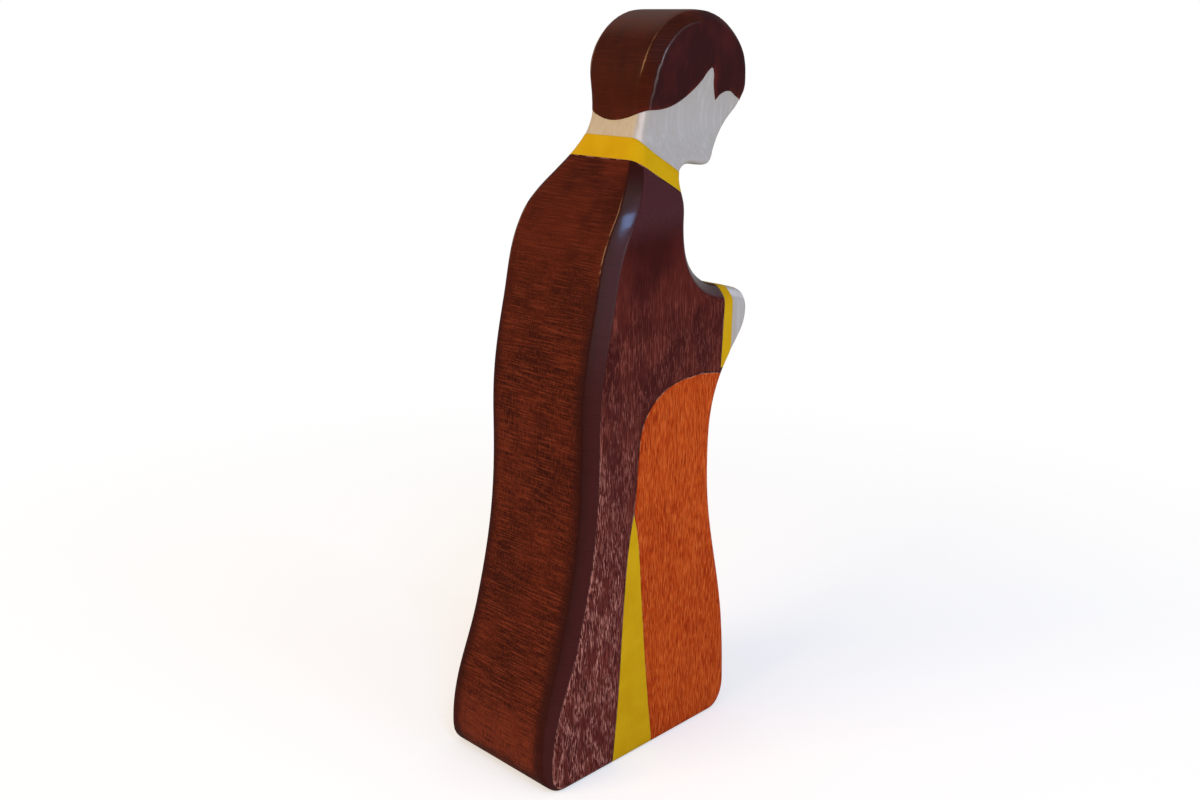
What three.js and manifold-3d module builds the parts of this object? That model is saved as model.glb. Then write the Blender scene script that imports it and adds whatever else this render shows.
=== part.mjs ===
// A standing figure for a nativity scene: one blank sawn from a board, thinned at the neck and
// head and chamfered round its edge, with colour coats brushed onto it.
// Millimetres. +X is the way the figure looks, +Y its left side, +Z up. It stands on Z = 0.
import * as THREE from "three";
import { mergeVertices } from "three/addons/utils/BufferGeometryUtils.js";
import Module from "manifold-3d";

const wasm = await Module();
wasm.setup();

// The board, and what carving leaves of its thickness at the neck and head.
const BOARD = 25;
const NECK_THICKNESS = 12.2;
const HEAD_THICKNESS = 15.5;

// Heights, stacked from the table to the crown.
const HEM_RISE = 4.5; // table to the widest level of the hem
const SKIRT = 43.5; // that level to the waist
const BELLY = 15.2; // waist to the underside of the forearm
const FOREARM = 13.3; // underside to top of the forearm
const CHEST = 13.5; // top of the forearm to the shoulder
const NECK = 14.3; // shoulder to nape
const TEMPLE = 5.5; // nape to the level where the head is deepest
const CROWN = 11.5; // that level to the top of the head

// Depths along X.
const HEM_DEPTH = 44.7;
const WAIST_DEPTH = 29.9;
const SHOULDER_DEPTH = 15.6;
const HEAD_DEPTH = 25.6;
const CROWN_PLACE = 11.6; // top of the head ahead of its back
const HAND_REACH = 15.8; // tip of the hands ahead of the chest

// How far the back leans forward, from one level to the next.
const WAIST_LEAN = 9.9;
const BLADE_LEAN = 2.7; // waist to the shoulder blade, level with the top of the forearm
const SHOULDER_LEAN = 4.4;
const NAPE_LEAN = 10.2;
const HEAD_LEAN = 0.4;

// Bends of the skirt and the arm.
const HEEL_ROUND = 3.6;
const CALF_RISE = 20.5; // bend at the back of the skirt, above the hem
const CALF_LEAN = 5.2; // and ahead of it
const SHIN_RISE = 25; // bend at the front of the skirt, above the hem
const SHIN_BACK = 2.4; // and behind it
const BACK_RISE = 9; // hollow of the back above the waist
const CROOK_REACH = 3.8; // crook of the arm ahead of the chest
const CROOK_RISE = 3.2; // and above the top of the forearm
const HAND_ROUND = 3.4; // tip of the hands below their top
const HAND_BACK = 2.3; // top of the hands behind their tip
const HAND_SLANT = 5.2; // underside of the forearm behind the tip of the hands

// The bowed face is a plain one, with its brow and the foot of its nose a third of its length apart.
const FACE = 18.5; // hairline to chin
const NOSE = 1.8; // height of the nose
const NOSE_FOOT = 1.9; // tip to foot of the nose
const FRINGE_DROP = 3.4; // end of the fringe below the level where the head is deepest
const FRINGE_BACK = 1.2; // and behind the front of the head
const CHIN_DEPTH = 5; // chin to throat

// Ways that the outline heads, in degrees from the level.
const CALF_SLOPE = 74;
const BLADE_SLOPE = 76;
const SHOULDER_SLOPE = 57;
const NAPE_SLOPE = 70;
const FOREHEAD_SLOPE = 77;
const FACE_SLOPE = 40;
const FRINGE_TURN = 22; // steeper than the face
const NOSE_TURN = 25; // flatter than the face
const CHIN_TURN = 45; // flatter than the face
const THROAT_SLOPE = 25;
const CROOK_SLOPE = 38;
const HAND_SLOPE = 20;
const ARM_SLOPE = 58;
const SHIN_SLOPE = 78;

// Chamfers round the edge of the board.
const FOOT_CHAMFER = 0.4; // along the table, where the edge is only broken
const BASE_CHAMFER = 1.5;
const BODY_CHAMFER = 2.4;
const NECK_CHAMFER = 1;
const HEAD_CHAMFER = 2;
const HAND_CHAMFER = 1.8;
const FACE_CHAMFER = 0.9;

// Colour coats, the gap under and between them, and the bare wood at the foot.
const COAT = 0.4;
const GAP = 0.3;
const BARE_FOOT = 0.3; // above the level where the wood lies back under the coats

// Edges of the hair, measured from the nape.
const HAIR_RISE = 1.6;
const EAR_PLACE = 14.6; // top of the bare arch at the ear
const EAR_ARCH = 6.2; // its height above the edge of the hair
const LOCK_AHEAD = 3.1; // tip of the lock at the temple, ahead of that arch
const FRINGE_RISE = 2; // fringe above the tip of the lock

// Collar and cuff.
const COLLAR_WIDTH = 3.3;
const COLLAR_BACK = 2.6; // its top below the nape, at the back
const COLLAR_SIDE = 5; // its top below the nape, where it turns forward
const COLLAR_FRONT = 9; // its top below the nape, at the throat
const COLLAR_TURN = 1; // where it turns forward, ahead of the nape
const CUFF_PLACE = 8.2; // back edge of the cuff ahead of the chest
const CUFF_WIDTH = 2.3;

// Robe and yellow band.
const ROBE_BACK = 20.6; // back edge of the robe ahead of the back of the hem
const ROBE_ARCH = 11.5; // height of the arch under the arm
const ROBE_ROUND = 12.5; // depth of that arch
const BAND_DROP = 9.3; // tip of the band below the foot of the arch
const BAND_SHIFT = 1; // and behind it
const BEND_DROP = 14.4; // bend of the band's edges below its tip
const BEND_SHIFT = 2.3; // and behind it, at the back edge
const BEND_WIDTH = 4.4; // width of the band there
const FOOT_SHIFT = 2.5; // back edge at the table behind the bend
const FOOT_WIDTH = 9.6; // width of the band at the table

// Fineness of the curves.
const OUTLINE_STEPS = 6;
const LINE_STEPS = 20;
const CARVING_STEPS = 5;
const MERGE = 1e-4;
const LEAST_CHAMFER = 0.05;

// Share of the distance between two knots at which a curve's handles give a round bend.
const ROUND = 0.39;

// Levels and depths that several pieces share.
const waistZ = HEM_RISE + SKIRT;
const armZ = waistZ + BELLY;
const wristZ = armZ + FOREARM;
const shoulderZ = wristZ + CHEST;
const napeZ = shoulderZ + NECK;
const templeZ = napeZ + TEMPLE;
const crownZ = templeZ + CROWN;
const bladeX = WAIST_LEAN + BLADE_LEAN;
const shoulderX = bladeX + SHOULDER_LEAN;
const napeX = shoulderX + NAPE_LEAN;
const headX = napeX + HEAD_LEAN;
const foreheadX = headX + HEAD_DEPTH;
const chestX = shoulderX + SHOULDER_DEPTH;
const handX = chestX + HAND_REACH;
const waistX = WAIST_LEAN + WAIST_DEPTH;

// Anything farther out than this lies clear of the figure.
const BEYOND = 2 * crownZ;

const point = (x, z) => new THREE.Vector2(x, z);

function heading(degrees) {
  const angle = THREE.MathUtils.degToRad(degrees);
  return point(Math.cos(angle), Math.sin(angle));
}

// The outline seen from the figure's right runs up the back, over the head and down the front.
// A knot has a place, the way the outline heads there, in degrees from +X, and the chamfer.
function knot(place, degrees, chamfer) {
  return { place, heading: heading(degrees), chamfer };
}

function backKnots() {
  return [
    knot(point(HEEL_ROUND, 0), 180, FOOT_CHAMFER),
    knot(point(0, HEM_RISE), 90, BASE_CHAMFER),
    knot(point(CALF_LEAN, HEM_RISE + CALF_RISE), CALF_SLOPE, BODY_CHAMFER),
    knot(point(WAIST_LEAN, waistZ + BACK_RISE), 90, BODY_CHAMFER),
    knot(point(bladeX, wristZ), BLADE_SLOPE, BODY_CHAMFER),
    knot(point(shoulderX, shoulderZ), SHOULDER_SLOPE, BODY_CHAMFER),
    knot(point(napeX, napeZ), NAPE_SLOPE, NECK_CHAMFER),
    knot(point(headX, templeZ), 90, HEAD_CHAMFER),
    knot(point(headX + CROWN_PLACE, crownZ), 0, HEAD_CHAMFER),
    knot(point(foreheadX, templeZ), -FOREHEAD_SLOPE, HEAD_CHAMFER),
  ];
}

// The face's profile lies along a line. Each knot has its distance below the hairline, how far it
// stands out from that line, and its turn from it. The fringe hides half the forehead.
function faceKnots() {
  const downward = 180 + FACE_SLOPE;
  const down = heading(downward);
  const out = heading(downward + 90);
  const third = FACE / 3;
  const fringe = point(foreheadX - FRINGE_BACK, templeZ - FRINGE_DROP);
  const hairline = fringe.clone().addScaledVector(down, -third / 2);
  const onFace = (below, proud, turn) => {
    const place = hairline.clone().addScaledVector(down, below).addScaledVector(out, proud);
    return knot(place, downward + turn, FACE_CHAMFER);
  };
  return [
    onFace(third / 2, 0, FRINGE_TURN),
    onFace(third, 0, 0),
    onFace(2 * third - NOSE_FOOT / 2, NOSE, -NOSE_TURN),
    onFace(2 * third + NOSE_FOOT / 2, 0, 0),
    onFace(FACE, -NOSE / 2, -CHIN_TURN),
  ];
}

function frontKnots() {
  const chin = faceKnots().at(-1).place;
  return [
    knot(point(chin.x - CHIN_DEPTH, chin.y), 180 + THROAT_SLOPE, NECK_CHAMFER),
    knot(point(chestX, shoulderZ), 270, BODY_CHAMFER),
    knot(point(chestX + CROOK_REACH, wristZ + CROOK_RISE), -CROOK_SLOPE, BODY_CHAMFER),
    knot(point(handX - HAND_BACK, wristZ), -HAND_SLOPE, HAND_CHAMFER),
    knot(point(handX, wristZ - HAND_ROUND), 270, HAND_CHAMFER),
    knot(point(handX - HAND_SLANT, armZ), 180 + ARM_SLOPE, BODY_CHAMFER),
    knot(point(waistX, waistZ), 270, BODY_CHAMFER),
    knot(point(HEM_DEPTH - SHIN_BACK, HEM_RISE + SHIN_RISE), -SHIN_SLOPE, BODY_CHAMFER),
    knot(point(HEM_DEPTH, HEM_RISE), 270, BASE_CHAMFER),
    knot(point(HEM_DEPTH - HEEL_ROUND, 0), 180, FOOT_CHAMFER),
  ];
}

// Points along the outline, each with its chamfer.
function outlinePoints() {
  const knots = [...backKnots(), ...faceKnots(), ...frontKnots()];
  const made = [];
  for (let k = 0; k + 1 < knots.length; k++) {
    const [a, b] = [knots[k], knots[k + 1]];
    const reach = ROUND * a.place.distanceTo(b.place);
    const leaving = a.place.clone().addScaledVector(a.heading, reach);
    const arriving = b.place.clone().addScaledVector(b.heading, -reach);
    const bend = new THREE.CubicBezierCurve(a.place, leaving, arriving, b.place);
    for (let i = 0; i < OUTLINE_STEPS; i++) {
      const share = i / OUTLINE_STEPS;
      const chamfer = THREE.MathUtils.lerp(a.chamfer, b.chamfer, share);
      made.push({ place: bend.getPoint(share), chamfer });
    }
  }
  made.push(knots.at(-1));
  return made;
}

const outline = outlinePoints();
const outlineX = outline.map((p) => p.place.x);
const middleX = (Math.min(...outlineX) + Math.max(...outlineX)) / 2;

// Moves each point of a line to the line's right, by its own distance.
function shifted(points, distances, closed) {
  const last = points.length - 1;
  return points.map((p, i) => {
    const before = i > 0 ? points[i - 1] : closed ? points[last] : p;
    const after = i < last ? points[i + 1] : closed ? points[0] : p;
    const arriving = p.clone().sub(before).normalize();
    const leaving = after.clone().sub(p).normalize();
    const mean = arriving.clone().add(leaving).normalize();
    const spread = Math.max(mean.dot(arriving), mean.dot(leaving));
    return p.clone().addScaledVector(point(mean.y, -mean.x), distances[i] / spread);
  });
}

// Solids from geometry, and back again.
function solid(geometry) {
  geometry.deleteAttribute("normal");
  geometry.deleteAttribute("uv");
  const merged = mergeVertices(geometry, MERGE);
  const vertProperties = new Float32Array(merged.attributes.position.array);
  const triVerts = new Uint32Array(merged.index.array);
  return new wasm.Manifold(new wasm.Mesh({ numProp: 3, vertProperties, triVerts }));
}

function geometryOf(body) {
  const { vertProperties, triVerts } = body.getMesh();
  return new THREE.BufferGeometry()
    .setAttribute("position", new THREE.BufferAttribute(new Float32Array(vertProperties), 3))
    .setIndex(new THREE.BufferAttribute(new Uint32Array(triVerts), 1));
}

// A shape drawn on the side face, cut right through the board.
function stencil(points) {
  const shape = new THREE.Shape(points.map((p) => point(p.x - middleX, p.y)));
  const geometry = new THREE.ExtrudeGeometry(shape, { depth: BEYOND, bevelEnabled: false });
  return solid(geometry.rotateX(Math.PI / 2).translate(0, BEYOND / 2, 0));
}

const oblong = (x0, x1, z0, z1) => stencil([point(x0, z0), point(x1, z0), point(x1, z1), point(x0, z1)]);
const level = (z0, z1) => oblong(-BEYOND, BEYOND, z0, z1);

// Thickness that the carving leaves at each height, and the heights between which it changes.
const flareHeight = TEMPLE + CROWN / 2;
const ease = (share) => THREE.MathUtils.smoothstep(share, 0, 1);

function thickness(z) {
  const thinned = BOARD + (NECK_THICKNESS - BOARD) * ease((z - shoulderZ) / NECK);
  return thinned + (HEAD_THICKNESS - NECK_THICKNESS) * ease((z - napeZ) / flareHeight);
}

function carvingLevels() {
  const levels = [shoulderZ];
  for (let i = 1; i <= CARVING_STEPS; i++) {
    levels.push(shoulderZ + (NECK * i) / CARVING_STEPS);
  }
  for (let i = 1; i <= CARVING_STEPS; i++) {
    levels.push(napeZ + (flareHeight * i) / CARVING_STEPS);
  }
  return levels;
}

// The flat sawn board, shrunk by an inset on every face, with its chamfers. A chamfer is cut deeper
// where the board will be squeezed, so that it ends at 45 degrees.
function sawnBoard(inset, squeeze) {
  const half = BOARD / 2 - inset;
  const cornerLoss = inset * (2 - Math.SQRT2);
  const chamfers = outline.map((p) => Math.max(p.chamfer - cornerLoss, LEAST_CHAMFER));
  const rim = shifted(outline.map((p) => p.place), outline.map(() => inset), true);
  const lip = shifted(rim, chamfers, true);
  const rimY = rim.map((p, i) => half - chamfers[i] / squeeze(p.y));
  const rings = [
    lip.map((p) => [p.x - middleX, half, p.y]),
    rim.map((p, i) => [p.x - middleX, rimY[i], p.y]),
    rim.map((p, i) => [p.x - middleX, -rimY[i], p.y]),
    lip.map((p) => [p.x - middleX, -half, p.y]),
  ];
  const count = outline.length;
  const faces = [];
  for (let ring = 0; ring + 1 < rings.length; ring++) {
    for (let i = 0; i < count; i++) {
      const here = ring * count + i;
      const next = ring * count + ((i + 1) % count);
      faces.push(here, next + count, next, here, here + count, next + count);
    }
  }
  const far = (rings.length - 1) * count;
  for (const [a, b, c] of THREE.ShapeUtils.triangulateShape(lip, [])) {
    faces.push(a, c, b, far + a, far + b, far + c);
  }
  return new THREE.BufferGeometry()
    .setAttribute("position", new THREE.Float32BufferAttribute(rings.flat(2), 3))
    .setIndex(faces);
}

// The carved blank: the board is cut into slabs at the carving's levels, each slab is squeezed to
// the thickness there, and they are joined again.
function blank(inset) {
  const squeeze = (z) => (thickness(z) - 2 * inset) / (BOARD - 2 * inset);
  const board = solid(sawnBoard(inset, squeeze));
  const levels = [-BEYOND, ...carvingLevels(), BEYOND];
  const slabs = [];
  for (let i = 0; i + 1 < levels.length; i++) {
    const [low, high] = [levels[i], levels[i + 1]];
    const slab = geometryOf(board.intersect(level(low, high)));
    const place = slab.attributes.position;
    for (let v = 0; v < place.count; v++) {
      const share = (place.getZ(v) - low) / (high - low);
      place.setY(v, place.getY(v) * THREE.MathUtils.lerp(squeeze(low), squeeze(high), share));
    }
    slabs.push(solid(slab));
  }
  return slabs.reduce((joined, slab) => joined.add(slab));
}

// Lines between colours, drawn on the side face, each moved aside to its right.
function curveThrough(points, aside) {
  const moved = shifted(points, points.map(() => aside), false);
  return new THREE.SplineCurve(moved).getPoints(LINE_STEPS);
}

function fromBackToFront(curve) {
  return [point(-BEYOND, curve[0].y), ...curve, point(BEYOND, curve.at(-1).y)];
}

function hairLine(aside) {
  const hairZ = napeZ + HAIR_RISE;
  const earX = napeX + EAR_PLACE;
  const lockX = earX + LOCK_AHEAD;
  const corners = [
    point(napeX, hairZ),
    point((napeX + earX) / 2, hairZ + EAR_ARCH / 6),
    point(earX, hairZ + EAR_ARCH),
    point(lockX, hairZ),
    point((lockX + foreheadX) / 2, hairZ + FRINGE_RISE),
    point(foreheadX, hairZ),
  ];
  return fromBackToFront(curveThrough(corners, aside));
}

function collarLine(aside) {
  const corners = [
    point(napeX - NECK_CHAMFER, napeZ - COLLAR_BACK),
    point(napeX + COLLAR_TURN, napeZ - COLLAR_SIDE),
    point(chestX, napeZ - COLLAR_FRONT),
    point(chestX + CROOK_REACH, shoulderZ),
  ];
  return fromBackToFront(curveThrough(corners, aside));
}

const archZ = armZ - ROBE_ARCH;
const bandTip = point(ROBE_BACK - BAND_SHIFT, archZ - BAND_DROP);
const bandBend = point(bandTip.x - BEND_SHIFT, bandTip.y - BEND_DROP);
const bandFoot = point(bandBend.x - FOOT_SHIFT, 0);

function robeLine(aside) {
  const arch = new THREE.EllipseCurve(
    ROBE_BACK + ROBE_ROUND, archZ, ROBE_ROUND + aside, ROBE_ARCH + aside, Math.PI / 2, Math.PI,
  );
  const edge = curveThrough([point(ROBE_BACK, archZ), bandTip, bandBend, bandFoot], aside);
  const top = point(BEYOND, armZ + aside);
  return [top, ...arch.getPoints(LINE_STEPS), ...edge.slice(1), point(edge.at(-1).x, -BEYOND)];
}

function bandLine(aside) {
  const bend = point(bandBend.x + BEND_WIDTH, bandBend.y);
  const foot = point(bandFoot.x + FOOT_WIDTH, 0);
  const edge = curveThrough([bandTip, bend, foot], aside);
  return [...edge, point(edge.at(-1).x, -BEYOND)];
}

// Areas of the side face beside a line.
const above = (line) => stencil([...line, point(BEYOND, 2 * BEYOND), point(-BEYOND, 2 * BEYOND)]);
const below = (line) => stencil([...line, point(BEYOND, -BEYOND), point(-BEYOND, -BEYOND)]);
const ahead = (line) => stencil([...line, point(BEYOND, -BEYOND)]);
const behind = (line) => stencil([...line, point(-BEYOND, -BEYOND), point(-BEYOND, line[0].y)]);

// A coat stops half a gap short of the line that it shares with its neighbour.
const halfGap = GAP / 2;
const cuffX = chestX + CUFF_PLACE;
const cuffEnd = cuffX + CUFF_WIDTH;
const armAbove = armZ + halfGap;
const bareZ = COAT + GAP + BARE_FOOT;
const bareHead = above(collarLine(-halfGap)).subtract(above(hairLine(halfGap)));
const bareHand = oblong(cuffEnd + halfGap, BEYOND, armAbove, shoulderZ);
const hairArea = above(hairLine(-halfGap));
const collarArea = below(collarLine(halfGap)).intersect(above(collarLine(COLLAR_WIDTH - halfGap)));
const clothArea = below(collarLine(COLLAR_WIDTH + halfGap)).subtract(level(-BEYOND, bareZ + GAP));
const cuffArea = oblong(cuffX + halfGap, cuffEnd - halfGap, armAbove, shoulderZ);
const wristArea = oblong(cuffX - halfGap, BEYOND, armZ, shoulderZ);
const skirtArea = clothArea.intersect(ahead(robeLine(-halfGap)));
const bandArea = skirtArea.intersect(behind(bandLine(halfGap)));
const robeArea = skirtArea.subtract(behind(bandLine(-halfGap)));
const cloakArea = clothArea.subtract(ahead(robeLine(halfGap))).subtract(wristArea);

// The wood lies back under the coats, and comes out to the surface where it is bare.
const whole = blank(0);
const bareAreas = bareHead.add(bareHand).add(level(-BEYOND, bareZ));
const wood = blank(COAT + GAP).add(whole.intersect(bareAreas));
const coating = whole.subtract(blank(COAT));
const bands = coating.intersect(bandArea);
const rightHalf = new THREE.BoxGeometry(BEYOND, BEYOND, BEYOND).translate(0, -BEYOND / 2, 0);
const rightSide = solid(rightHalf);

function finish(color, roughness) {
  return new THREE.MeshStandardMaterial({ color, roughness, metalness: 0, flatShading: true });
}

const bareWood = finish(0xcfc3ab, 0.65);
const hairBrown = finish(0x3a1512, 0.35);
const cloakBrown = finish(0x4a1f16, 0.42);
const robeOrange = finish(0xb54a1c, 0.5);
const yellow = finish(0xd9a914, 0.45);

const figure = new THREE.Group();

function add(name, body, material) {
  const mesh = new THREE.Mesh(geometryOf(body), material);
  mesh.name = name;
  figure.add(mesh);
}

add("wooden_figure", wood, bareWood);
add("hair_coat", coating.intersect(hairArea), hairBrown);
add("collar_coat", coating.intersect(collarArea), yellow);
add("cloak_coat", coating.intersect(cloakArea), cloakBrown);
add("cuff_coat", coating.intersect(cuffArea), yellow);
add("robe_coat", coating.intersect(robeArea), robeOrange);
add("band_coat_right", bands.intersect(rightSide), yellow);
add("band_coat_left", bands.subtract(rightSide), yellow);

export default figure;
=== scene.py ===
# %% [markdown]
# A small standing figure for a crib scene: a person with a bowed head who holds the hands before the
# chest. The real one is sawn from a board, its arrises are sanded off, the neck and head are carved
# slimmer, and colour is brushed on. So this lesson works in the maker's order: saw, carve, chamfer,
# sand, then paint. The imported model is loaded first, because it fixes the size and place of everything.

# %% Load the frame
import math
from collections import namedtuple

import bpy
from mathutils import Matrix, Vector, kdtree


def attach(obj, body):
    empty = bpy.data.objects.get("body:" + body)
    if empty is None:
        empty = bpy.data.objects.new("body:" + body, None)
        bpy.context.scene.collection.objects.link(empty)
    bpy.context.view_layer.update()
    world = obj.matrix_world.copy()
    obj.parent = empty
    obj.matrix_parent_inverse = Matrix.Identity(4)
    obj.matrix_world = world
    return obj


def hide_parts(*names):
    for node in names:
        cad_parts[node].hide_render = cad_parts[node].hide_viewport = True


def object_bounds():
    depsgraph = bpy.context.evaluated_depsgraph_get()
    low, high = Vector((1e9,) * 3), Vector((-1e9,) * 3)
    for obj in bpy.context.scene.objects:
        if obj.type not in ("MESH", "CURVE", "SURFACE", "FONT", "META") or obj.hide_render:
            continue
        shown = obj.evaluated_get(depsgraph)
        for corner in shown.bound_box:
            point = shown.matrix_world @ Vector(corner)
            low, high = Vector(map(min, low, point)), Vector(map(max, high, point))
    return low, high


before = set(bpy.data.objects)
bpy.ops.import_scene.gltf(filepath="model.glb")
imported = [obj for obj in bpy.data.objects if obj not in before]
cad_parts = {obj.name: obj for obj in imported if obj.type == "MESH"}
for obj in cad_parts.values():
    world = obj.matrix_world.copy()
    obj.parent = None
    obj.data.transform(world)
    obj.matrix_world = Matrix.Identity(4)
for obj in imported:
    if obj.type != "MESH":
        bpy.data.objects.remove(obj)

MM = 0.001
cad_low, cad_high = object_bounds()
HEM_BACK = cad_low.x / MM
print("frame box in mm:", [round(v / MM, 2) for v in (*cad_low, *cad_high)])

# %% [markdown]
# Every operator acts on what is selected, and loading the frame leaves its nodes selected. A few small
# helpers keep that in hand: one picks the pieces to work on and nothing else, one opens a piece in edit
# mode, and one adds a modifier and applies it at once, as the Apply button does.


# %% Helpers for working by hand
def pick(*pieces):
    bpy.ops.object.select_all(action="DESELECT")
    for piece in pieces:
        piece.select_set(True)
    bpy.context.view_layer.objects.active = pieces[-1]


def apply_modifier(piece, kind, **settings):
    pick(piece)
    modifier = piece.modifiers.new(kind.lower(), kind)
    for name, value in settings.items():
        setattr(modifier, name, value)
    bpy.ops.object.modifier_apply(modifier=modifier.name)


def edit(piece, select="SELECT"):
    pick(piece)
    bpy.ops.object.mode_set(mode="EDIT")
    bpy.ops.mesh.select_all(action=select)


def leave_edit():
    bpy.ops.object.mode_set(mode="OBJECT")


def remove(*pieces):
    pick(*pieces)
    bpy.ops.object.delete()


def place(x, z, y=0.0):
    """A point of the figure: x forward from the back of the hem, z up and y to its left, in mm."""
    return Vector(((x + HEM_BACK) * MM, y * MM, z * MM))


bpy.ops.object.select_all(action="DESELECT")
print("nodes to dress:", sorted(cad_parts))

# %% [markdown]
# The camera comes early, because every later choice is judged through it. It stands behind the figure's
# right shoulder, a little above the head, and looks down at it. It is close, so the base line and the
# shoulder run together quickly, and a short lens matches that.

# %% Camera
CAMERA_PLACE = Vector((-149.1, -146.5, 121.0)) * MM
CAMERA_HEADING = math.radians(44.92)
CAMERA_PITCH = math.radians(16.62)
CAMERA_LENS = 39.05
CAMERA_SENSOR = 36.0
CAMERA_NEAR = 10.0

bpy.ops.object.camera_add(location=CAMERA_PLACE)
camera = bpy.context.object
camera.rotation_euler = (math.pi / 2 - CAMERA_PITCH, 0, CAMERA_HEADING - math.pi / 2)
camera.data.lens = CAMERA_LENS
camera.data.sensor_width = CAMERA_SENSOR
camera.data.clip_start = CAMERA_NEAR * MM
bpy.context.scene.camera = camera
print("camera distance in mm:", round(camera.location.length / MM))

# %% [markdown]
# The side outline is what the saw follows. It could be drawn with many short lines, but a Bezier curve
# with one knot at each turn of the body keeps the long sweeps clean. A knot has a place, the direction
# in which the saw passes it, and the width of the chamfer that is sanded there later. Both handles of a
# stretch are a fixed share of its length, which gives full, even bows.

# %% The knots of the side outline
HANDLE_SHARE = 0.39
OUTLINE_STEPS = 12
Knot = namedtuple("Knot", "name x z heading chamfer")
KNOTS = [
    Knot("under the heel", 3.6, 0.0, 180, 0.4),
    Knot("heel", 0.0, 5.0, 90, 1.5),
    Knot("calf", 5.2, 25.0, 74, 2.4),
    Knot("waist behind", 9.9, 57.0, 90, 2.4),
    Knot("shoulder blade", 12.6, 76.5, 76, 2.4),
    Knot("shoulder", 17.0, 90.0, 57, 2.4),
    Knot("nape", 27.2, 104.3, 70, 1.2),
    Knot("back of the head", 27.6, 109.8, 90, 2.0),
    Knot("crown", 39.2, 121.3, 0, 2.0),
    Knot("front of the crown", 48.2, 118.35, -41, 1.4),
    Knot("forehead", 52.7, 109.8, -77, 1.1),
    Knot("fringe", 51.6, 106.4, 242, 0.9),
    Knot("brow", 49.6, 104.4, 220, 0.9),
    Knot("lip", 44.2, 99.8, 220, 0.9),
    Knot("chin", 39.6, 97.2, 175, 0.9),
    Knot("throat", 34.6, 97.2, 205, 1.0),
    Knot("chest", 32.6, 90.0, 270, 2.4),
    Knot("crook of the arm", 36.4, 79.7, -38, 2.4),
    Knot("back of the hand", 46.1, 76.5, -20, 1.8),
    Knot("fingertips", 48.4, 73.1, 270, 1.8),
    Knot("forearm", 43.2, 63.2, 238, 2.4),
    Knot("waist in front", 39.8, 48.0, 270, 2.4),
    Knot("shin", 42.3, 29.5, -78, 2.4),
    Knot("toe", 44.6, 6.4, 270, 1.5),
    Knot("under the toe", 40.0, 0.0, 180, 0.4),
]
print("knots:", len(KNOTS))


# %% Draw the side outline
def draw_curve(name, closed=True):
    """A new curve object with one Bezier spline of two points, which are placed later."""
    bpy.ops.curve.primitive_bezier_curve_add()
    drawing = bpy.context.object
    drawing.name = name
    drawing.data.dimensions = "3D"
    drawing.data.splines[0].use_cyclic_u = closed
    return drawing


def heading_vector(degrees, length):
    angle = math.radians(degrees)
    return Vector((math.cos(angle), 0, math.sin(angle))) * length


outline = draw_curve("outline")
spline = outline.data.splines[0]
spline.bezier_points.add(len(KNOTS) - 2)
spline.resolution_u = OUTLINE_STEPS
outline.data.resolution_u = OUTLINE_STEPS
corners = [place(knot.x, knot.z) for knot in KNOTS]
for index, (point, knot) in enumerate(zip(spline.bezier_points, KNOTS)):
    before = (corners[index] - corners[index - 1]).length * HANDLE_SHARE
    after = (corners[(index + 1) % len(corners)] - corners[index]).length * HANDLE_SHARE
    point.handle_left_type = "FREE"
    point.handle_right_type = "FREE"
    point.co = corners[index]
    point.handle_left = corners[index] - heading_vector(knot.heading, before)
    point.handle_right = corners[index] + heading_vector(knot.heading, after)
pick(outline)
bpy.ops.object.convert(target="MESH")
outline = bpy.context.object
print("outline points:", len(outline.data.vertices))

# %% [markdown]
# Sawing is a fill and an extrusion: the closed outline becomes a face, and the face is drawn through
# the thickness of the board. The thickness is the frame's own width, so the two can't differ.

# %% Saw the board
BOARD = (cad_high.y - cad_low.y) / MM

edit(outline)
bpy.ops.mesh.edge_face_add()
bpy.ops.mesh.extrude_region_move(TRANSFORM_OT_translate={"value": (0, BOARD * MM, 0)})
bpy.ops.mesh.select_all(action="SELECT")
bpy.ops.transform.translate(value=(0, -BOARD / 2 * MM, 0))
bpy.ops.mesh.normals_make_consistent(inside=False)
leave_edit()
figure = outline
figure.name = "carved_figure"
print("sawn board:", [round(v / MM, 1) for v in figure.dimensions])

# %% [markdown]
# Above the shoulders the board is carved slimmer from both sides: a neck of half its thickness, and a
# head a little wider than the neck. A cage does this without a second outline. The sides are first cut
# into level strips, so that they can bend, and then a lattice of level rings is squeezed to the carved
# thickness. No strip lies at the underside of the chin, where it would run along the edge.

# %% Carve the neck and head
NECK_THICKNESS = 12.2
HEAD_THICKNESS = 15.5
SHOULDER_HEIGHT = 90.0
NECK_HEIGHT = 104.3
HEAD_HEIGHT = 115.6
STRIPS = [SHOULDER_HEIGHT, 91.5, 93.0, 94.5, 95.8, 98.6, 100.0, 101.5, 103.0,
          NECK_HEIGHT, 106.0, 108.0, 110.0, 112.0, 114.0, HEAD_HEIGHT]
CAGE_BOTTOM = 86.0
CAGE_TOP = 124.0
CAGE_RINGS = 77
CAGE_LENGTH = 4 * BOARD


def smooth_step(value, start, end):
    share = min(max((value - start) / (end - start), 0.0), 1.0)
    return share * share * (3 - 2 * share)


def carved_thickness(height):
    slimmer = (BOARD - NECK_THICKNESS) * smooth_step(height, SHOULDER_HEIGHT, NECK_HEIGHT)
    wider = (HEAD_THICKNESS - NECK_THICKNESS) * smooth_step(height, NECK_HEIGHT, HEAD_HEIGHT)
    return BOARD - slimmer + wider


edit(figure)
for height in STRIPS:
    bpy.ops.mesh.select_all(action="SELECT")
    bpy.ops.mesh.bisect(plane_co=(0, 0, height * MM), plane_no=(0, 0, 1), use_fill=False)
leave_edit()
print("strips cut:", len(STRIPS))

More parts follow.
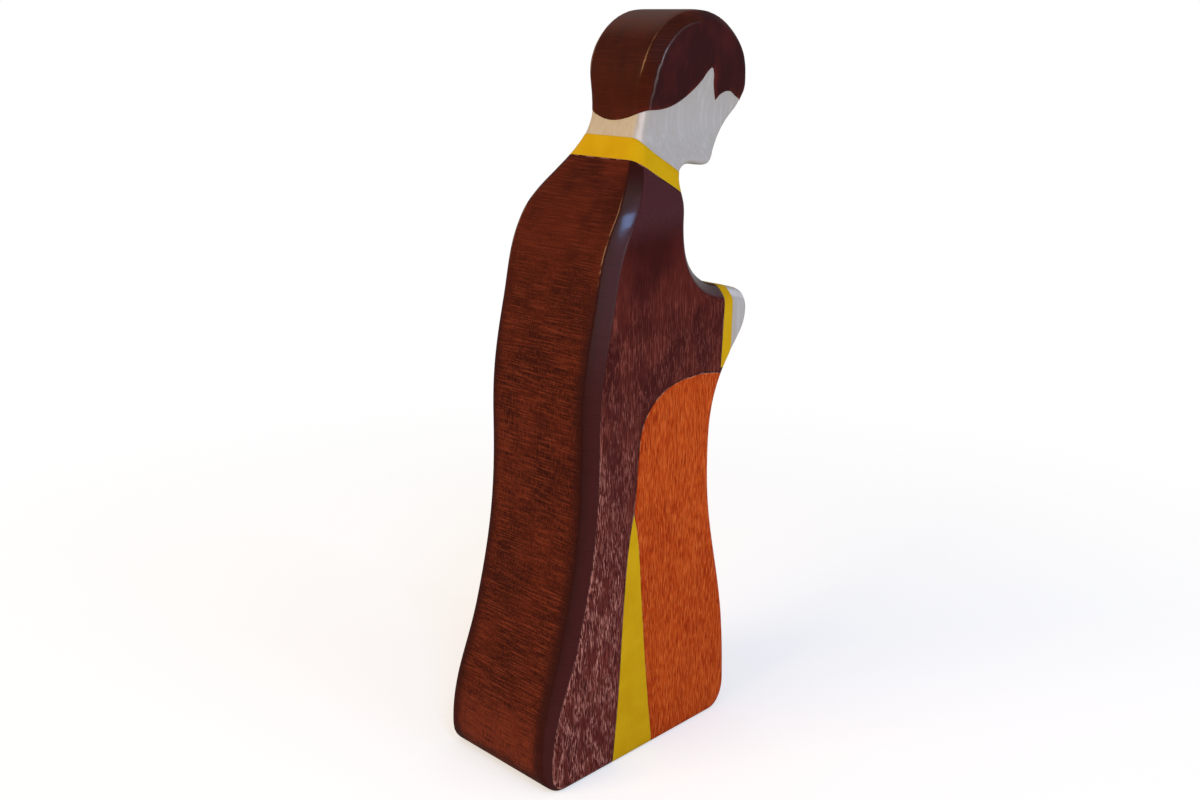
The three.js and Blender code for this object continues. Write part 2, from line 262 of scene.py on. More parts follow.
# %% Squeeze the neck and head in a cage
bpy.ops.object.select_all(action="DESELECT")
cage_height = (CAGE_TOP - CAGE_BOTTOM) * MM
bpy.ops.object.add(type="LATTICE", location=(0, 0, CAGE_BOTTOM * MM + cage_height / 2))
cage = bpy.context.object
cage.scale = (CAGE_LENGTH * MM, BOARD * MM, cage_height)
cage.data.points_u = 2
cage.data.points_v = 2
cage.data.points_w = CAGE_RINGS
for axis in "uvw":
    setattr(cage.data, f"interpolation_type_{axis}", "KEY_LINEAR")
for point in cage.data.points:
    height = CAGE_BOTTOM + (point.co.z + 0.5) * (CAGE_TOP - CAGE_BOTTOM)
    point.co_deform.y = point.co.y * carved_thickness(height) / BOARD
bpy.context.view_layer.update()
apply_modifier(figure, "LATTICE", object=cage)
remove(cage)
print("carved to", NECK_THICKNESS, "mm at the neck and", HEAD_THICKNESS, "mm at the head")

# %% [markdown]
# All long arrises are sanded to a chamfer, wide on the cloak, narrow on the neck and the base. A bevel
# with one width can't do that, so every arris edge carries a weight: the share of the widest chamfer
# that it gets. The weight comes from the knots on either side. A rounded profile between a flat chamfer
# and a full round gives the soft facet that sandpaper leaves.

# %% The width of the chamfer along the outline
WIDEST_CHAMFER = max(knot.chamfer for knot in KNOTS)

knot_tree = kdtree.KDTree(len(KNOTS) * OUTLINE_STEPS)
knot_chamfers = []
for index, knot in enumerate(KNOTS):
    following = KNOTS[(index + 1) % len(KNOTS)]
    for step in range(OUTLINE_STEPS):
        share = step / OUTLINE_STEPS
        spot = corners[index].lerp(corners[(index + 1) % len(corners)], share)
        knot_tree.insert(spot, len(knot_chamfers))
        knot_chamfers.append(knot.chamfer + (following.chamfer - knot.chamfer) * share)
knot_tree.balance()
print("chamfers in mm: from", min(knot_chamfers), "to", WIDEST_CHAMFER)

# %% Weigh and bevel the arrises
CHAMFER_SEGMENTS = 5
CHAMFER_PROFILE = 0.29
SIDE_TURN = 0.6

mesh = figure.data
face_side = [abs(face.normal.y) > SIDE_TURN for face in mesh.polygons]
edge_sides = {}
for face in mesh.polygons:
    for key in face.edge_keys:
        edge_sides.setdefault(key, []).append(face_side[face.index])
weights = mesh.attributes.new("bevel_weight_edge", "FLOAT", "EDGE")
arris_count = 0
for edge in mesh.edges:
    sides = edge_sides.get(edge.key, [])
    if len(sides) == 2 and sides[0] != sides[1]:
        middle = (mesh.vertices[edge.vertices[0]].co + mesh.vertices[edge.vertices[1]].co) / 2
        middle.y = 0
        nearest = knot_tree.find(middle)[1]
        weights.data[edge.index].value = knot_chamfers[nearest] / WIDEST_CHAMFER
        arris_count += 1
apply_modifier(figure, "BEVEL", limit_method="WEIGHT", width=WIDEST_CHAMFER * MM,
               segments=CHAMFER_SEGMENTS, profile=CHAMFER_PROFILE, use_clamp_overlap=False,
               offset_type="OFFSET")
print("arris edges:", arris_count, "faces after the bevel:", len(figure.data.polygons))

# %% [markdown]
# The face is a plain calm one in three equal parts: hairline to brow, brow to the foot of the nose,
# and from there to the chin. A carver would leave a nose standing and hollow the eyes beside it. Here a
# slim cone is joined on for the nose, flat balls are cut away for the eye hollows, and smaller ones
# joined for the lids and lips. The sanding that follows melts them into the wood.

# %% Carve the face
FACE_SLOPE = 40
FACE_LENGTH = 18.5
HAIRLINE = (54.4, 108.4)
THIRD = FACE_LENGTH / 3
EYE_ASIDE = 2.9
EYE_BELOW = THIRD + 2.1
MOUTH_BELOW = 2 * THIRD + THIRD / 3
LID_BELOW = EYE_BELOW + 0.3
HOLLOW = {"proud": 0.3, "depth": 1.8, "width": 3.9, "height": 2.5}
LID = {"proud": -0.35, "depth": 1.3, "width": 2.8, "height": 1.6}
LIPS = {"proud": -0.25, "depth": 1.3, "width": 4.2, "height": 1.5}
NOSE_WIDTH = 3.6
NOSE_ROOT_WIDTH = 1.2
NOSE_LENGTH = THIRD - 0.2
NOSE_BELOW = 1.5 * THIRD + 0.1
NOSE_SUNK = 0.15
ROUND_STEPS = 32
FACE_TILT = (0, math.radians(90 - FACE_SLOPE), 0)


def face_spot(below, aside=0.0, proud=0.0):
    """A point on the face, in mm: below the hairline, aside to the left and proud of its plane."""
    down = heading_vector(180 + FACE_SLOPE, below * MM)
    out = heading_vector(270 + FACE_SLOPE, proud * MM)
    return place(*HAIRLINE, aside) + down + out


def ball_on_face(below, aside, proud, depth, width, height):
    bpy.ops.mesh.primitive_uv_sphere_add(segments=ROUND_STEPS, ring_count=ROUND_STEPS // 2, radius=1,
                                         location=face_spot(below, aside, proud), rotation=FACE_TILT,
                                         scale=(depth / 2 * MM, width / 2 * MM, height / 2 * MM))
    return bpy.context.object


def work_in(piece, tool, operation):
    apply_modifier(piece, "BOOLEAN", object=tool, operation=operation, solver="EXACT")
    remove(tool)


for side in (-1, 1):
    work_in(figure, ball_on_face(EYE_BELOW, side * EYE_ASIDE, **HOLLOW), "DIFFERENCE")
    work_in(figure, ball_on_face(LID_BELOW, side * EYE_ASIDE, **LID), "UNION")
bpy.ops.mesh.primitive_cone_add(vertices=ROUND_STEPS, radius1=NOSE_WIDTH / 2 * MM,
                                radius2=NOSE_ROOT_WIDTH / 2 * MM, depth=NOSE_LENGTH * MM,
                                location=face_spot(NOSE_BELOW, 0, -NOSE_SUNK), rotation=FACE_TILT)
work_in(figure, bpy.context.object, "UNION")
work_in(figure, ball_on_face(MOUTH_BELOW, 0, **LIPS), "UNION")
print("carved figure:", len(figure.data.polygons), "faces")

# %% [markdown]
# Sanding makes one even skin of all these faces. A voxel remesh lays a fine grid over the solid, and a
# few rounds of smoothing take off its steps and round the arrises by a hair, as sandpaper does. The
# same skin later gives the colour coats, so they follow the wood exactly.

# %% Sand the whole figure
VOXEL = 0.42
SANDING_STRENGTH = 0.5
SANDING_ROUNDS = 6

apply_modifier(figure, "REMESH", mode="VOXEL", voxel_size=VOXEL * MM, use_smooth_shade=True)
apply_modifier(figure, "SMOOTH", factor=SANDING_STRENGTH, iterations=SANDING_ROUNDS)
print("sanded figure:", len(figure.data.polygons), "faces")

# %% [markdown]
# The colour areas are cut out like stencils. Each paint line is a smooth curve through the few points
# where the brush turns, and far corners outside the figure close it. The closed shape is drawn through
# the whole figure, so both sides get the same line, as they do on the real one.

# %% The paint lines
BARE_FOOT = 0.25
BARE_GAP = 0.05
TIP = (19.6, 43.9)
BAND_TIP = (19.6, 43.5)
LOCK_TIP = (44.6, 107.2)
HAIR_SIDE = [(20, 106.3), (29.1, 106.3), (32.4, 106.4), (35.4, 107.2), (38.3, 108.8), (40.4, 110.5),
             (41.7, 112.0), (42.5, 112.4), (43.05, 111.7), (43.55, 109.8), LOCK_TIP]
HAIR_FRONT = [LOCK_TIP, (45.7, 108.1), (47.9, 108.5), (49.9, 107.5), (56, 105.0)]
COLLAR_TOP = [(16, 102.8), (24.8, 102.4), (26.7, 102.05), (27.3, 101.2), (31.7, 97.5), (36, 93.8)]
COLLAR_FOOT = [(12, 99.8), (22.8, 99.2), (24.7, 98.85), (25.5, 98.1), (30.1, 94.6), (35, 91.1)]
CUFF_BACK = [(41.3, 81), (41.0, 74.5), (40.4, 64.0)]
CUFF_FRONT = [(43.3, 81), (43.1, 74.4), (42.9, 64.0)]
SLEEVE_FOOT = 62.0
ROBE_TOP = [(47, 62.1), (42, 62.8), (37.1, 63.7), (33.7, 63.9), (28, 63.2), (24, 61.1), (21.5, 57.6),
            (20.6, 52.6), (20.1, 47.2), TIP]
BAND_BACK = [TIP, (18.75, 39.8), (18.05, 35.2), (17.35, 28.0), (16.1, 11.8), (14.8, BARE_FOOT)]
BAND_FRONT = [TIP, (20.4, 40.2), (21.0, 35.2), (21.55, 28.0), (23.2, 10.2), (24.4, BARE_FOOT)]
NAPE_START = 20.0
NAPE_DEPTH = 10.0
NAPE_ASIDE = 7.5
NAPE_TOP = 112.0
NAPE_DIP = [(-NAPE_ASIDE, 107.0), (-5.6, 106.1), (-2.6, 105.0), (0.4, 104.6), (3.2, 105.1), (5.6, 106.1),
            (NAPE_ASIDE, 107.0)]
AHEAD = 70
BEHIND = -20
OVERHEAD = 140


def shifted(line, distance):
    """The line moved to its left by a distance."""
    moved = []
    for index, (x, z) in enumerate(line):
        before = line[max(index - 1, 0)]
        after = line[min(index + 1, len(line) - 1)]
        run = Vector((after[0] - before[0], after[1] - before[1])).normalized()
        moved.append((x - run.y * distance, z + run.x * distance))
    return moved


print("points of the hair line:", len(HAIR_SIDE + HAIR_FRONT), "bare gap in mm:", BARE_GAP)

# %% [markdown]
# A stencil has smooth stretches that meet in sharp corners, such as the tip of the band or of the lock
# at the temple. So it is drawn from parts: inside a part the curve's handles are automatic, and at its
# ends they point straight at the next knot. A marker material tells its walls from the wood later.

# %% Cut the stencils
STENCIL_DEPTH = 60
LINE_STEPS = 8
STENCIL_WELD = 0.01
HALF_GAP = BARE_GAP / 2
wall_marker = bpy.data.materials.new("stencil_marker")


def stencil(name, parts, across=True, start=-STENCIL_DEPTH / 2, depth=STENCIL_DEPTH):
    """A closed shape, drawn through the figure. Each part is a smooth line, or one corner alone."""
    drawing = draw_curve(name)
    line = drawing.data.splines[0]
    line.resolution_u = LINE_STEPS
    spots = [(spot, index in (0, len(part) - 1)) for part in parts for index, spot in enumerate(part)]
    line.bezier_points.add(len(spots) - 2)
    for point, (spot, sharp) in zip(line.bezier_points, spots):
        point.handle_left_type = "VECTOR" if sharp else "AUTO"
        point.handle_right_type = point.handle_left_type
        point.co = place(*spot, start) if across else place(start, spot[1], spot[0])
    pick(drawing)
    bpy.ops.object.convert(target="MESH")
    shape = bpy.context.object
    edit(shape)
    bpy.ops.mesh.remove_doubles(threshold=STENCIL_WELD * MM)
    bpy.ops.mesh.edge_face_add()
    through = (0, depth * MM, 0) if across else (depth * MM, 0, 0)
    bpy.ops.mesh.extrude_region_move(TRANSFORM_OT_translate={"value": through})
    bpy.ops.mesh.select_all(action="SELECT")
    bpy.ops.mesh.normals_make_consistent(inside=False)
    leave_edit()
    shape.data.materials.clear()
    shape.data.materials.append(wall_marker)
    return shape


stencils = {
    "hair_coat": stencil("hair", [HAIR_SIDE, HAIR_FRONT, [(AHEAD, OVERHEAD)], [(BEHIND, OVERHEAD)]]),
    "collar_coat": stencil("collar", [COLLAR_TOP, shifted(COLLAR_FOOT, HALF_GAP)[::-1]]),
    "cloak_coat": stencil("cloak", [shifted(COLLAR_FOOT, -HALF_GAP), shifted(CUFF_BACK, -HALF_GAP),
                                    [(AHEAD, SLEEVE_FOOT)], shifted(ROBE_TOP, -HALF_GAP),
                                    shifted(BAND_BACK, -HALF_GAP)[1:], [(BEHIND, BARE_FOOT)]]),
    "cuff_coat": stencil("cuff", [shifted(CUFF_BACK, HALF_GAP), CUFF_FRONT[::-1]]),
    "robe_coat": stencil("robe", [shifted(ROBE_TOP, HALF_GAP), shifted(BAND_FRONT, HALF_GAP)[1:],
                                  [(AHEAD, BARE_FOOT)]]),
    "band_coat": stencil("band", [[BAND_TIP, *shifted(BAND_BACK, HALF_GAP)[1:]],
                                  [*shifted(BAND_FRONT, -HALF_GAP)[:0:-1], BAND_TIP]]),
}
nape = stencil("nape", [NAPE_DIP, [(NAPE_ASIDE, NAPE_TOP)], [(-NAPE_ASIDE, NAPE_TOP)]], across=False,
               start=NAPE_START, depth=NAPE_DEPTH)
work_in(stencils["hair_coat"], nape, "UNION")
print("stencils:", sorted(stencils))

# %% [markdown]
# A coat of colour is the skin of the wood inside one stencil. A boolean keeps the part of the figure
# that lies inside, the walls that the stencil cut are deleted again, and the skin that is left is
# lifted by a hair and given a thickness. The distance of each point from the edge of its coat is kept,
# because a brush leaves more colour, or less, along an edge.

# %% Take the skin inside a stencil
COAT_WELD = 0.02
EDGE_REACH = 4.0
skin_marker = bpy.data.materials.new("bare_marker")


def skin_inside(shape):
    """The skin of the figure inside a stencil, as a piece of its own. The stencil is used up."""
    pick(figure)
    bpy.ops.object.duplicate()
    skin = bpy.context.object
    skin.data.materials.clear()
    skin.data.materials.append(skin_marker)
    apply_modifier(skin, "BOOLEAN", object=shape, operation="INTERSECT", solver="EXACT",
                   material_mode="TRANSFER")
    remove(shape)
    edit(skin, "DESELECT")
    skin.active_material_index = skin.data.materials.find(wall_marker.name)
    bpy.ops.object.material_slot_select()
    bpy.ops.mesh.delete(type="FACE")
    bpy.ops.mesh.select_all(action="SELECT")
    bpy.ops.mesh.remove_doubles(threshold=COAT_WELD * MM)
    leave_edit()
    return skin


def border_of(skin):
    """The points along the open edge of a skin."""
    edit(skin, "DESELECT")
    bpy.ops.mesh.select_mode(type="EDGE")
    bpy.ops.mesh.select_non_manifold(extend=False)
    bpy.ops.mesh.select_mode(type="VERT")
    leave_edit()
    return [vertex.co.copy() for vertex in skin.data.vertices if vertex.select]


def edge_distance(coat, border):
    """Store how far each point of a coat lies from the coat's border, in mm."""
    tree = kdtree.KDTree(len(border))
    for index, spot in enumerate(border):
        tree.insert(spot, index)
    tree.balance()
    distances = coat.data.attributes.new("edge", "FLOAT", "POINT")
    for index, vertex in enumerate(coat.data.vertices):
        distances.data[index].value = min(tree.find(vertex.co)[2] / MM, EDGE_REACH)


# %% Brush the coats
LIFT = 0.01
COAT = 0.07


def brushed_name(node_name):
    """The name of the piece that stands for a coat's node."""
    return "brushed_" + node_name.replace("_coat", "")


def brush_coat(name, shape):
    coat = skin_inside(shape)
    coat.name = brushed_name(name)
    edit(coat)
    bpy.ops.transform.shrink_fatten(value=LIFT * MM)
    leave_edit()
    border = border_of(coat)
    apply_modifier(coat, "SOLIDIFY", thickness=COAT * MM, offset=1.0)
    edge_distance(coat, border)
    coat.data.materials.clear()
    pick(coat)
    bpy.ops.object.shade_smooth()
    print(coat.name, len(coat.data.polygons), "faces", len(border), "border points")
    return coat


coats = {name: brush_coat(name, shape) for name, shape in stencils.items()}

# %% [markdown]
# The band's stencil goes through the whole figure and leaves a coat on each side of the board. They are
# two pieces on the real figure, so the loose shells are parted and named for their sides.

# %% Part the band into its two sides
edit(coats["band_coat"])
bpy.ops.mesh.separate(type="LOOSE")
leave_edit()
halves = sorted(bpy.context.selected_objects, key=lambda half: half.data.vertices[0].co.y)
coats.pop("band_coat")
for half, name in zip(halves, ("band_coat_right", "band_coat_left")):
    half.name = brushed_name(name)
    coats[name] = half
print("coats:", {name: len(coat.data.polygons) for name, coat in coats.items()})

# %% [markdown]
# The eyes are closed in prayer, so a lid line, a brow and a mouth line are all that a fine brush adds.
# Each stroke is a short curve that is laid on the carved face with a shrinkwrap, so it follows the lids
# and lips, and is then given the thickness of a brush mark.

# %% Paint the face
STROKE = 0.15
STROKE_START = 0.6
STROKE_STEPS = 10
STROKE_ROUNDING = 3
STROKES = {
    # name: the points of the stroke as (below the hairline, aside), in mm
    "lid_line": [(EYE_BELOW + 0.35, 1.6), (EYE_BELOW + 1.0, 2.9), (EYE_BELOW + 0.35, 4.3)],
    "brow_line": [(THIRD + 0.35, 1.7), (THIRD - 0.35, 3.1), (THIRD + 0.3, 4.7)],
}
MOUTH_LINE = [(MOUTH_BELOW - 0.1, -1.7), (MOUTH_BELOW + 0.15, 0.0), (MOUTH_BELOW - 0.1, 1.7)]


def paint_stroke(name, spots):
    drawing = draw_curve(name, closed=False)
    line = drawing.data.splines[0]
    line.resolution_u = STROKE_STEPS
    line.bezier_points.add(len(spots) - 2)
    for point, (below, aside) in zip(line.bezier_points, spots):
        point.handle_left_type = "AUTO"
        point.handle_right_type = "AUTO"
        point.co = face_spot(below, aside, STROKE_START)
    pick(drawing)
    bpy.ops.object.convert(target="MESH")
    stroke = bpy.context.object
    apply_modifier(stroke, "SHRINKWRAP", target=figure, wrap_method="NEAREST_SURFACEPOINT")
    pick(stroke)
    bpy.ops.object.convert(target="CURVE")
    stroke = bpy.context.object
    stroke.data.bevel_depth = STROKE * MM
    stroke.data.bevel_resolution = STROKE_ROUNDING
    stroke.data.use_fill_caps = True
    bpy.ops.object.convert(target="MESH")
    stroke = bpy.context.object
    stroke.name = name
    bpy.ops.object.shade_smooth()
    return stroke


strokes = {"mouth_line": paint_stroke("mouth_line", MOUTH_LINE)}
for name, spots in STROKES.items():
    for side, word in ((-1, "right"), (1, "left")):
        turned = [(below, side * aside) for below, aside in spots]
        strokes[f"{name}_{word}"] = paint_stroke(f"{name}_{word}", turned)
print("strokes:", {name: len(stroke.data.polygons) for name, stroke in strokes.items()})

# %% [markdown]
# The finishes are built from a few plain tools. One adds a node and plugs it in, one mixes two colours,
# and one turns a range of values into a mask. A socket knows the node tree that it belongs to, so
# most of them need no material. Colours are written as they look on screen and turned into the
# linear values that the shader wants.


# %% Helpers for nodes and colours
def tint(red, green, blue):
    """A screen colour as linear values."""
    linear = [((c + 0.055) / 1.055) ** 2.4 if c > 0.04045 else c / 12.92 for c in (red, green, blue)]
    return (*linear, 1.0)


def new_finish(name, roughness, specular):
    material = bpy.data.materials.new(name)
    material.use_nodes = True
    shader = material.node_tree.nodes["Principled BSDF"]
    shader.inputs["Roughness"].default_value = roughness
    shader.inputs["Specular IOR Level"].default_value = specular
    return material


def plug(value, socket):
    """Link a socket's value, or set a plain one."""
    if isinstance(value, bpy.types.NodeSocket):
        socket.id_data.links.new(value, socket)
    else:
        socket.default_value = value


def node(tree, kind, inputs, **settings):
    made = tree.nodes.new("ShaderNode" + kind)
    for name, value in settings.items():
        setattr(made, name, value)
    for name, value in inputs.items():
        plug(value, made.inputs[name])
    return made


def mixed(factor, first, second):
    """Two colours mixed by a factor."""
    made = node(factor.id_data, "Mix", {0: factor, 6: first, 7: second}, data_type="RGBA")
    return made.outputs[2]


def reckon(operation, first, second=0.0):
    return node(first.id_data, "Math", {0: first, 1: second}, operation=operation).outputs[0]


print("white of the screen is", tint(1, 1, 1))


# %% Helpers for masks and noise
def mask(value, start, full, top=1.0):
    """0 before the start, top from full onwards, smooth between. Full may be the lower value."""
    first, last = (0.0, top) if start < full else (top, 0.0)
    span = {"From Min": min(start, full), "From Max": max(start, full), "To Min": first, "To Max": last}
    made = node(value.id_data, "MapRange", {"Value": value, **span}, interpolation_type="SMOOTHSTEP")
    return made.outputs["Result"]


def times(*factors):
    product = factors[0]
    for factor in factors[1:]:
        product = reckon("MULTIPLY", product, factor)
    return product


def stretch(value, start, full, fade, end, top=1.0):
    """Top between full and fade, and 0 before the start and past the end."""
    return times(mask(value, start, full, top), mask(value, end, fade))


def near(value, middle, reach, top=1.0):
    """Top where the value is at the middle, and 0 where it is further off than the reach."""
    away = reckon("ABSOLUTE", reckon("SUBTRACT", value, middle))
    return mask(away, reach, 0.0, top)


def spread(share, low, high):
    """A share from 0 to 1, spread from low to high."""
    made = node(share.id_data, "MapRange", {"Value": share, "To Min": low, "To Max": high})
    return made.outputs["Result"]


def place_in(material):
    """The place of each point of the surface, in the frame."""
    return node(material.node_tree, "TexCoord", {}).outputs["Object"]


def noise(material, size, seed, detail=2.0, wiggle=0.0):
    """Cloudy noise. Its clouds have a size along x, y and z, in mm, and the wiggle bends them."""
    tree = material.node_tree
    scale = tuple(1 / (side * MM) for side in size)
    scaled = node(tree, "Mapping", {"Vector": place_in(material), "Location": (seed, seed, seed),
                                    "Scale": scale})
    made = node(tree, "TexNoise", {"Vector": scaled.outputs["Vector"], "Scale": 1.0,
                                   "Detail": detail, "Distortion": wiggle})
    return made.outputs["Fac"]


# %% [markdown]
# The grain of the board runs up and down. On the two flat sides it shows as short upright fibres and
# long streaks. On the sawn outline the blade has left fine marks across. How far a face turns to the
# side tells them apart: 0 on the sawn outline, 1 on the flat sides, and between them on the chamfers.
# The same number finds the two arrises of a chamfer, where hands and cloth rub the colour off.

# %% Grain, saw marks and arrises
CHAMFER_ANGLE = 45.0
CHAMFER = math.sin(math.radians(CHAMFER_ANGLE))
BACK_ARRIS = math.sin(math.radians(CHAMFER_ANGLE / 2))
SIDE_ARRIS = math.sin(math.radians(90 - CHAMFER_ANGLE / 2))
SLOPE_START = SHOULDER_HEIGHT - 4
SLOPE_FADE = NECK_HEIGHT - 2
SLOPE_END = NECK_HEIGHT + 2


def fibres(material, width, length, seed, wiggle=0.0):
    return noise(material, (width, width, length), seed, wiggle=wiggle)


def saw_marks(material, width, length, seed):
    return noise(material, (length, length, width), seed)


def measure(material, axis):
    """The place along an axis of the frame, in mm."""
    parts = node(material.node_tree, "SeparateXYZ", {"Vector": place_in(material)})
    return reckon("DIVIDE", parts.outputs[axis], MM)


def side_turn(material):
    """How far a face turns to the side. The slope of the carved neck is left out of it."""
    tree = material.node_tree
    normal = node(tree, "NewGeometry", {}).outputs["Normal"]
    level = node(tree, "VectorMath", {0: normal, 1: (1.0, 1.0, 0.0)}, operation="MULTIPLY")
    length = node(tree, "VectorMath", {0: level.outputs["Vector"]}, operation="LENGTH")
    turn = reckon("ABSOLUTE", node(tree, "SeparateXYZ", {"Vector": normal}).outputs["Y"])
    upright = reckon("DIVIDE", turn, length.outputs["Value"])
    carved = stretch(measure(material, "Z"), SLOPE_START, SHOULDER_HEIGHT, SLOPE_FADE, SLOPE_END)
    slack = reckon("SUBTRACT", upright, turn)
    return reckon("ADD", turn, times(slack, carved))


print("arrises at a side turn of", round(BACK_ARRIS, 2), "and", round(SIDE_ARRIS, 2))

# %% Specks, rims and the shader
RELIEF = 0.1
GLEAM_ROUGHNESS = 0.2


def speck(material, middle, radius, top):
    """Top at one point of the figure, and 0 from the radius outwards, in mm."""
    away = node(material.node_tree, "VectorMath", {0: place_in(material), 1: middle}, operation="DISTANCE")
    return mask(away.outputs["Value"], radius * MM, radius / 3 * MM, top)


def paint_edge(material, reach, top):
    """The rim of a coat: top at its border, 0 from the reach inwards, in mm."""
    distance = node(material.node_tree, "Attribute", {}, attribute_name="edge")
    return mask(distance.outputs["Fac"], reach, 0.0, top)


def finish_with(material, color, height, bump, gleam=None):
    """Plug in the colour and the relief and, where it varies, the gleam of a clear coat."""
    shader = material.node_tree.nodes["Principled BSDF"]
    relief = node(height.id_data, "Bump", {"Height": height, "Strength": bump, "Distance": RELIEF * MM})
    plug(color, shader.inputs["Base Color"])
    plug(relief.outputs["Normal"], shader.inputs["Normal"])
    if gleam is not None:
        shader.inputs["Coat Roughness"].default_value = GLEAM_ROUGHNESS
        plug(gleam, shader.inputs["Coat Weight"])
    print(material.name, "has", len(material.node_tree.nodes), "nodes")


# %% [markdown]
# Bare wood shows on the face, the neck, the hands and the foot. It is a pale, fine-grained wood with faint
# long streaks. It is painted warmer on the sawn outline and greyer on the flat sides, as painted light of
# the warm lamp and the cool side light on one wood. The chamfer is painted palest, as a painted highlight.
# It is left dull.

# %% Bare wood
WARM_LIT_WOOD = tint(0.755, 0.69, 0.59)
COOL_LIT_WOOD = tint(0.69, 0.67, 0.65)
CHAMFER_HIGHLIGHT_WOOD = tint(0.83, 0.805, 0.795)
DARK_STREAK = tint(0.67, 0.60, 0.51)
PALE_STREAK = tint(0.79, 0.775, 0.76)
WOOD_PORE = tint(0.60, 0.54, 0.47)


def bare_wood():
    finish = new_finish("bare_wood", roughness=0.6, specular=0.2)
    turn = side_turn(finish)
    streak = fibres(finish, width=0.7, length=16.0, seed=3.0)
    pore = fibres(finish, width=0.14, length=1.4, seed=11.0)
    # painted light: the sawn outline warmer and the flat sides greyer, as the two lamps light one wood
    color = mixed(mask(turn, 0.42, 0.6), WARM_LIT_WOOD, COOL_LIT_WOOD)
    # a painted highlight on the chamfers
    color = mixed(near(turn, CHAMFER, 0.19, 0.9), color, CHAMFER_HIGHLIGHT_WOOD)
    color = mixed(mask(streak, 0.5, 0.72, 0.3), color, DARK_STREAK)
    color = mixed(mask(streak, 0.45, 0.3, 0.3), color, PALE_STREAK)
    color = mixed(mask(pore, 0.6, 0.72, 0.3), color, WOOD_PORE)
    finish_with(finish, color, pore, bump=0.2)
    return finish


bare_finish = bare_wood()

# %% [markdown]
# The cloak is a brown glaze, thin enough to show the wood. Its flat sides are a dark purple brown, partly
# as painted light of the cool side light, with a painted mauve sheen at the shoulder and rubbed fibres
# that get paler towards the hem. Each of these is a mask of its own, laid over the base colour from the
# broad to the fine, the painted sheen before the wear. A pair of heights says where a change starts and
# where it is full. Of four heights, the last two say where it fades and ends.

# %% The cloak's flat sides
RIDGES = (0.53, 0.63)
PORES = (0.47, 0.37)
TOWARDS_HEM = (84.0, 20.0)
BELOW_SHEEN_HEIGHTS = (86.0, 70.0)
SHOULDER_SHEEN_HEIGHTS = (86.0, 91.5)
SHOULDER_BROWN = tint(0.235, 0.066, 0.058)
HEM_BROWN = tint(0.365, 0.15, 0.135)
RED_CLOUD = tint(0.40, 0.15, 0.12)
PAINTED_MAUVE_SHEEN = tint(0.295, 0.155, 0.17)
RED_FIBRE = tint(0.60, 0.31, 0.26)
PALE_FIBRE = tint(0.75, 0.51, 0.46)
DARK_PORE = tint(0.155, 0.05, 0.048)


def cloak_side(finish, height, cloud):
    """The flat sides: painted mauve sheen at the shoulder, streaks at the waist, rough fibres at the hem.
    """
    low = mask(height, *TOWARDS_HEM)
    below_sheen = mask(height, *BELOW_SHEEN_HEIGHTS)
    fuzz = fibres(finish, width=0.13, length=1.4, seed=7.0, wiggle=0.5)
    streak = fibres(finish, width=0.18, length=6.0, seed=5.0)
    patch = noise(finish, size=(1.8, 1.8, 4.0), seed=25.0)
    # the side colours are partly painted light: cooler than the back, as lit by the cool side light
    color = mixed(low, SHOULDER_BROWN, HEM_BROWN)
    color = mixed(mask(cloud, 0.4, 0.65, 0.5), color, RED_CLOUD)
    # a painted mauve sheen at the shoulder, standing in for a reflection of the light there
    color = mixed(mask(height, *SHOULDER_SHEEN_HEIGHTS, 0.9), color, PAINTED_MAUVE_SHEEN)
    streaked = times(mask(streak, 0.56, 0.66, 0.8), mask(cloud, 0.35, 0.6), below_sheen)
    color = mixed(streaked, color, RED_FIBRE)
    inside = spread(paint_edge(finish, 1.8, 1.0), 1.0, 0.3)
    fuzzy = times(mask(fuzz, *RIDGES), mask(patch, 0.36, 0.56), below_sheen, inside,
                  spread(low, 0.35, 1.0))
    color = mixed(fuzzy, color, mixed(low, RED_FIBRE, PALE_FIBRE))
    sunk = times(mask(fuzz, *PORES), spread(low, 0.3, 0.85))
    return mixed(sunk, color, DARK_PORE), fuzz


# the height at which the painted mauve sheen at the shoulder is full
print("mauve bloom full at", SHOULDER_SHEEN_HEIGHTS[1], "mm")

# %% [markdown]
# Behind, where the saw went, the cloak is a warmer brown, partly as painted light of the warm lamp, with
# fine marks both ways, like cloth. The marks are faint at the shoulder and stronger below. The heel has a
# painted redder light where it turns under, and the foot's edge a painted dark shade.

# %% The cloak's sawn back
MARK_RIDGES = (0.53, 0.64)
MARK_GROOVES = (0.47, 0.36)
MARKS_BELOW = (92.0, 60.0)
HEEL_LIGHT_HEIGHTS = (1.5, 4.5, 7.0, 15.0)
FOOT_SHADE_HEIGHTS = (4.2, 2.2)
BACK_SPECK = place(20.8, 95.7, 1.3)
DEEP_BACK = tint(0.24, 0.08, 0.042)
WARM_BACK = tint(0.32, 0.115, 0.058)
PAINTED_HEEL_LIGHT = tint(0.47, 0.20, 0.13)
PAINTED_FOOT_SHADE = tint(0.20, 0.085, 0.05)
PALE_MARK = tint(0.47, 0.205, 0.125)
DARK_MARK = tint(0.165, 0.052, 0.034)


